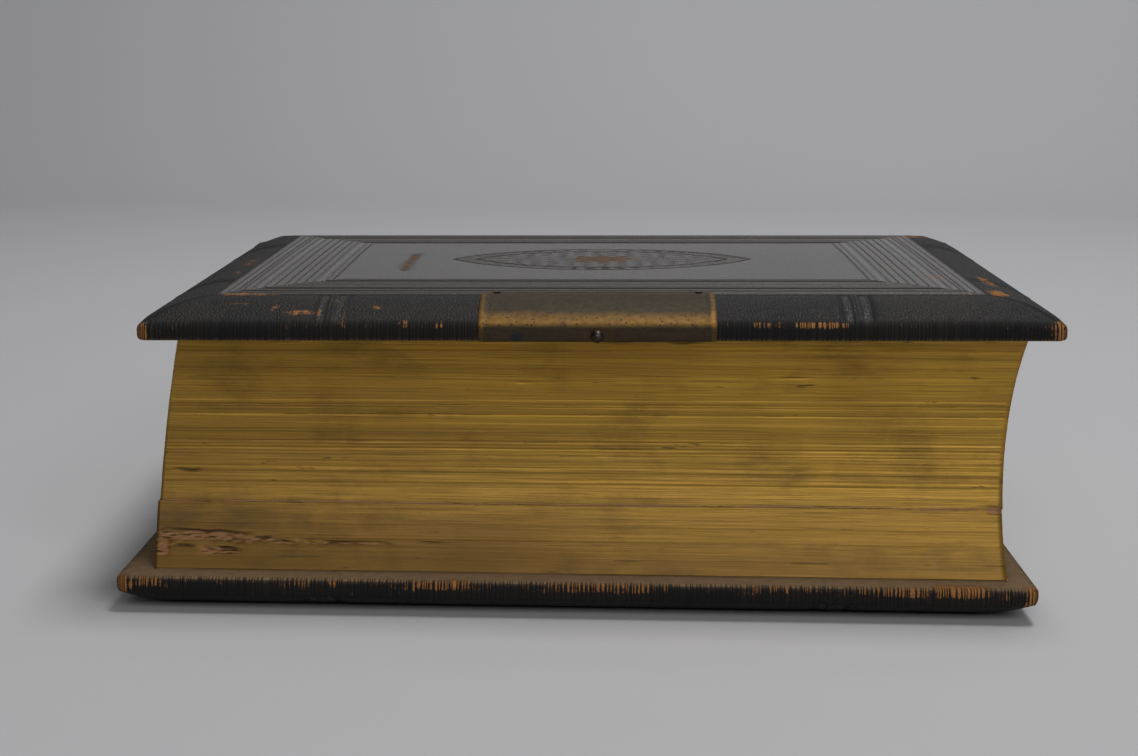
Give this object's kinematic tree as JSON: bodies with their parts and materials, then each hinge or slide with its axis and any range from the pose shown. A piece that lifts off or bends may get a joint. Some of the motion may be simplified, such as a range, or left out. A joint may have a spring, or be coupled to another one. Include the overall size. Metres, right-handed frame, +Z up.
{
  "type": "antique leather book",
  "caption": "Large old book in dark leather: bevelled covers, gilt leaf edges, rounded spine with raised bands, and a brass catch plate on the fore edge.",
  "frame": {"origin": "centre of the back cover's flat outer face, which the book rests on", "axes": "+X from tail to head along the spine, +Y from the fore edge to the spine, +Z up through the leaves to the front cover"},
  "size_m": [0.3324, 0.2884, 0.1129],
  "materials": {
    "black_leather": "pebbled, worn tan at corners and edges",
    "gilt_leaves": "dull gilt edges",
    "endpaper": "matte, aged",
    "board_card": "matte millboard",
    "spine_card": "matte",
    "hemp_cord": "twisted cord",
    "lining_cloth": "open weave",
    "endband_silk": "worked in faded silk",
    "tarnished_brass": "tarnished, speckled",
    "dark_steel": "darkened"
  },
  "bodies": {
    "back_cover": {"back_board": "board_card", "back_cover_leather": "black_leather", "back_pastedown": "endpaper"},
    "book_block": {"text_block": "gilt_leaves", "front_flyleaf": "endpaper", "back_flyleaf": "endpaper", "sewing_cords": "hemp_cord", "spine_lining": "lining_cloth", "spine_hollow": "spine_card", "false_bands": "spine_card", "spine_leather": "black_leather", "head_endband": "endband_silk", "tail_endband": "endband_silk"},
    "front_cover": {"front_board": "board_card", "front_cover_leather": "black_leather", "front_pastedown": "endpaper", "catch_plate": "tarnished_brass", "catch_stud": "dark_steel", "plate_pins": "dark_steel"}
  },
  "joints": [
    {"name": "back_cover_hinge", "type": "hinge", "parent": "back_cover", "child": "book_block", "pos_m": [0, 0.128, 0], "axis": [-1, 0, 0], "range_deg": [0, 90]},
    {"name": "front_cover_hinge", "type": "hinge", "parent": "book_block", "child": "front_cover", "pos_m": [0.0072, 0.1366, 0.11104], "axis": [-0.9999, 0, -0.0124], "range_deg": [0, 180]}
  ]
}
